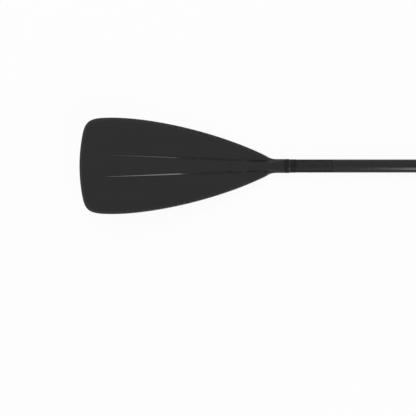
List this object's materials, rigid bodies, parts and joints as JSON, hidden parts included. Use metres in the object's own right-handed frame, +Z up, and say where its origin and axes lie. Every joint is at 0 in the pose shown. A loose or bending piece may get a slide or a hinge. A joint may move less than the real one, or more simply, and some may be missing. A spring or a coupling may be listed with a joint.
{
  "type": "stand-up paddleboard paddle",
  "caption": "Take-apart, length-adjustable paddle with a scooped ribbed blade, round tube shaft, cam-lever clamp and T grip.",
  "frame": {"origin": "middle of the bounding box at its lowest level, under the shaft's axis, with the paddle lying on its smooth face", "axes": "+X along the shaft from blade to grip, +Y across the blade, +Z up, the way the blade's ribbed face looks"},
  "size_m": [1.8, 0.212, 0.0744],
  "materials": {
    "blade_nylon": "satin",
    "joint_rubber": "matte",
    "matte_sleeve": "matte",
    "black_tube": "satin",
    "bare_aluminium": "satin",
    "steel": "satin",
    "black_polymer": "satin",
    "grip_polymer": "matte",
    "foam": "matte"
  },
  "bodies": {
    "shaft": {"shaft_ferrule": "joint_rubber", "socket_sleeve": "matte_sleeve", "main_shaft": "black_tube", "shaft_float": "foam", "clamp_body": "black_polymer", "clamp_bolt": "steel", "bolt_washer": "steel", "lever_barrel": "steel", "cam_washer": "black_polymer"},
    "blade_section": {"blade": "blade_nylon", "neck_collar": "joint_rubber", "spigot_tube": "bare_aluminium", "spigot_plug": "black_polymer"},
    "snap_button": {"snap_clip": "steel"},
    "lever": {"clamp_lever": "black_polymer"},
    "handle_section": {"extension_tube": "black_tube", "extension_guide": "black_polymer", "extension_seal": "foam", "t_grip": "grip_polymer", "grip_rivet": "bare_aluminium"}
  },
  "joints": [
    {"name": "blade_pull", "type": "slide", "parent": "shaft", "child": "blade_section", "axis": [-1, 0, 0], "range_m": [0, 0.092]},
    {"name": "button_press", "type": "slide", "parent": "blade_section", "child": "snap_button", "axis": [0, 1, 0], "range_m": [0, 0.0038], "stiffness_N_per_m": 600, "springref_m": -0.005, "deforming": ["snap_clip"]},
    {"name": "lever_swing", "type": "hinge", "parent": "shaft", "child": "lever", "pos_m": [0.4415, -0.0167, 0.0415], "axis": [-1, 0, 0], "range_deg": [0, 140]},
    {"name": "handle_slide", "type": "slide", "parent": "shaft", "child": "handle_section", "axis": [1, 0, 0], "range_m": [-0.15, 0.3]}
  ]
}
